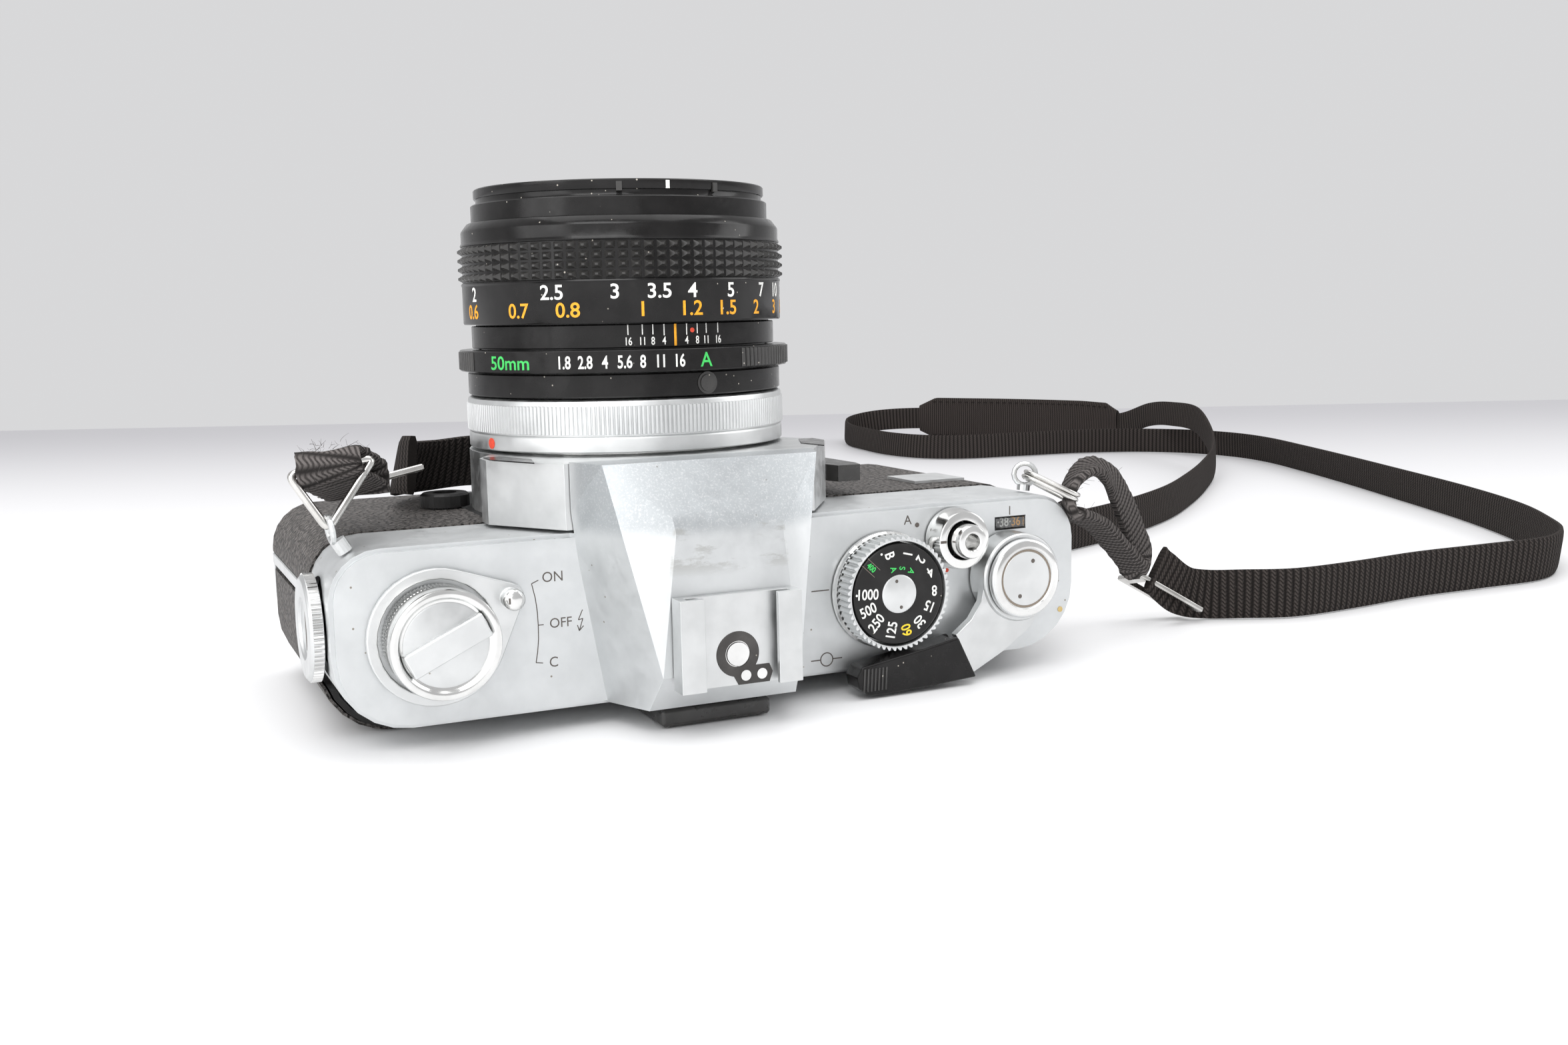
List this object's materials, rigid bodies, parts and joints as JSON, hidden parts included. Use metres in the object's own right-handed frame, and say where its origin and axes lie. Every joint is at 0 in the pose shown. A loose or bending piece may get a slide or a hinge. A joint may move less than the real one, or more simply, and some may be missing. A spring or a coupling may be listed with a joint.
{
  "type": "single-lens reflex film camera",
  "caption": "Chrome 35 mm single-lens reflex camera lying on its back, with lens, opening back, working controls and neck strap.",
  "frame": {"origin": "where the lens axis meets the outer face of the back door, which is the face the camera lies on", "axes": "+Z along the lens axis away from the film, +X to the shutter-release side, -Y to the camera's top plate and +Y to its base plate"},
  "size_m": [0.4464, 0.5041, 0.0941],
  "materials": {
    "satin_chrome": "satin",
    "bright_chrome": "polished",
    "cast_metal": "cast",
    "black_metal": "satin black",
    "black_gloss": "semi-gloss black",
    "leatherette": "coarse black grain",
    "black_plastic": "moulded black",
    "webbing": "ribbed black webbing",
    "steel_wire": "polished steel",
    "lens_glass": "coated",
    "clear_glass": "clear",
    "mirror_silver": "front-silvered",
    "shutter_cloth": "rubberised cloth"
  },
  "bodies": {
    "camera": {"base_plate": "satin_chrome", "body_casting": "cast_metal", "body_mount_ring": "bright_chrome", "counter_window": "clear_glass", "dial_skirt": "bright_chrome", "door_edge_strip": "satin_chrome", "door_hinge_pin": "steel_wire", "eyepiece_frame": "black_plastic", "eyepiece_lens": "clear_glass", "flash_socket": "black_metal", "focusing_screen": "clear_glass", "front_leather_left": "leatherette", "front_leather_right": "leatherette", "front_plate": "satin_chrome", "hot_shoe": "satin_chrome", "left_lug": "satin_chrome", "left_ring": "steel_wire", "left_slider": "steel_wire", "left_strap_loop": "webbing", "lens_barrel": "black_metal", "mirror_box": "black_metal", "neck_strap_left": "webbing", "neck_strap_right": "webbing", "pentaprism": "clear_glass", "rear_element": "lens_glass", "right_lug": "satin_chrome", "right_ring": "steel_wire", "right_slider": "steel_wire", "right_strap_loop": "webbing", "shoe_contact": "bright_chrome", "shutter_curtain": "shutter_cloth", "strap_pad": "webbing", "top_cover": "satin_chrome", "tripod_socket": "bright_chrome"},
    "door": {"back_door": "black_metal", "door_leather": "leatherette"},
    "pressure_plate": {"pressure_plate": "black_metal"},
    "meter_switch": {"meter_switch": "bright_chrome"},
    "rewind": {"rewind_knob": "bright_chrome", "rewind_shaft": "steel_wire"},
    "rewind_crank": {"rewind_crank": "bright_chrome"},
    "speed_dial": {"shutter_speed_dial": "black_metal"},
    "film_speed_ring": {"film_speed_ring": "bright_chrome"},
    "release_collar": {"release_lock_collar": "bright_chrome"},
    "release_button": {"release_button": "bright_chrome"},
    "advance_lever": {"advance_lever": "satin_chrome", "lever_tip": "black_plastic", "lever_cap": "bright_chrome"},
    "frame_counter": {"frame_counter_disc": "black_metal"},
    "take_up_spool": {"take_up_spool": "black_plastic"},
    "sprocket": {"sprocket": "steel_wire"},
    "focus": {"focus_ring": "black_gloss"},
    "lens_front": {"front_barrel": "black_gloss", "front_element": "lens_glass"},
    "aperture": {"aperture_ring": "black_gloss"},
    "breech_lock": {"breech_lock_ring": "satin_chrome"},
    "mirror": {"reflex_mirror": "mirror_silver"},
    "self_timer": {"self_timer_lever": "black_plastic"},
    "battery_cap": {"battery_cap": "satin_chrome"},
    "rewind_button": {"rewind_button": "bright_chrome"}
  },
  "joints": [
    {"name": "door_hinge", "type": "hinge", "parent": "camera", "child": "door", "pos_m": [0.0796, 0, 0.0135], "axis": [0, -1, 0], "range_deg": [0, 130]},
    {"name": "pressure_plate_spring", "type": "slide", "parent": "door", "child": "pressure_plate", "axis": [0, 0, 1], "range_m": [-0.0004, 0], "stiffness_N_per_m": 400},
    {"name": "meter_switch_turn", "type": "hinge", "parent": "camera", "child": "meter_switch", "pos_m": [-0.0463, -0.035, 0.019], "axis": [0, -1, 0], "range_deg": [-45, 0]},
    {"name": "rewind_spin", "type": "hinge", "parent": "camera", "child": "rewind", "pos_m": [-0.0463, -0.035, 0.019], "axis": [0, -1, 0], "continuous": true},
    {"name": "crank_fold", "type": "hinge", "parent": "rewind", "child": "rewind_crank", "pos_m": [-0.04007, -0.044, 0.02196], "axis": [-0.4289, 0, 0.9033], "range_deg": [0, 170]},
    {"name": "speed_dial_turn", "type": "hinge", "parent": "camera", "child": "speed_dial", "pos_m": [0.0373, -0.035, 0.0189], "axis": [0, -1, 0], "range_deg": [-288, 0]},
    {"name": "film_speed_lift", "type": "slide", "parent": "speed_dial", "child": "film_speed_ring", "axis": [0, -1, 0], "range_m": [0, 0.0012], "stiffness_N_per_m": 300, "springref_m": -0.0005},
    {"name": "release_lock_turn", "type": "hinge", "parent": "camera", "child": "release_collar", "pos_m": [0.052, -0.035, 0.0275], "axis": [0, -1, 0], "range_deg": [0, 65]},
    {"name": "release_press", "type": "slide", "parent": "camera", "child": "release_button", "axis": [0, 1, 0], "range_m": [0, 0.0025], "stiffness_N_per_m": 300, "springref_m": -0.0005},
    {"name": "advance_turn", "type": "hinge", "parent": "camera", "child": "advance_lever", "pos_m": [0.0644, -0.035, 0.0194], "axis": [0, -1, 0], "range_deg": [0, 160], "stiffness_Nm_per_rad": 0.003, "springref_deg": -17.19},
    {"name": "counter_turn", "type": "hinge", "parent": "camera", "child": "frame_counter", "pos_m": [0.0644, -0.035, 0.0194], "axis": [0, -1, 0], "range_deg": [0, 11]},
    {"name": "spool_turn", "type": "hinge", "parent": "camera", "child": "take_up_spool", "pos_m": [0.0629, 0, 0.018], "axis": [0, -1, 0], "range_deg": [0, 257]},
    {"name": "sprocket_turn", "type": "hinge", "parent": "camera", "child": "sprocket", "pos_m": [0.042, 0, 0.0134], "axis": [0, -1, 0], "range_deg": [0, 361]},
    {"name": "focus_turn", "type": "hinge", "parent": "camera", "child": "focus", "pos_m": [0, 0, 0.078], "axis": [0, 0, 1], "range_deg": [-78, 82]},
    {"name": "lens_extension", "type": "slide", "parent": "camera", "child": "lens_front", "axis": [0, 0, 1], "range_m": [-0.00244, 0.00256]},
    {"name": "aperture_turn", "type": "hinge", "parent": "camera", "child": "aperture", "pos_m": [0, 0, 0.0626], "axis": [0, 0, 1], "range_deg": [-9.2, 38]},
    {"name": "breech_lock_turn", "type": "hinge", "parent": "camera", "child": "breech_lock", "pos_m": [0, 0, 0.0526], "axis": [0, 0, 1], "range_deg": [0, 73]},
    {"name": "mirror_flip", "type": "hinge", "parent": "camera", "child": "mirror", "pos_m": [0, -0.0154, 0.0146], "axis": [1, 0, 0], "range_deg": [0, 43], "stiffness_Nm_per_rad": 0.004, "springref_deg": -17.19},
    {"name": "self_timer_turn", "type": "hinge", "parent": "camera", "child": "self_timer", "pos_m": [0.0395, 0.006, 0.037], "axis": [0, 0, 1], "range_deg": [0, 150]},
    {"name": "battery_cap_turn", "type": "hinge", "parent": "camera", "child": "battery_cap", "pos_m": [-0.063, -0.022, 0.02], "axis": [-1, 0, 0], "range_deg": [0, 360]},
    {"name": "rewind_release_press", "type": "slide", "parent": "camera", "child": "rewind_button", "axis": [0, -1, 0], "range_m": [0, 0.0015], "stiffness_N_per_m": 300, "springref_m": -0.0005}
  ],
  "couplings": [
    {"joint": "counter_turn", "follows": "advance_turn", "ratio": 0.06},
    {"joint": "spool_turn", "follows": "advance_turn", "ratio": 1.6},
    {"joint": "sprocket_turn", "follows": "advance_turn", "ratio": 2.25},
    {"joint": "focus_turn", "follows": "lens_extension", "rad_per_m": 543.48}
  ]
}
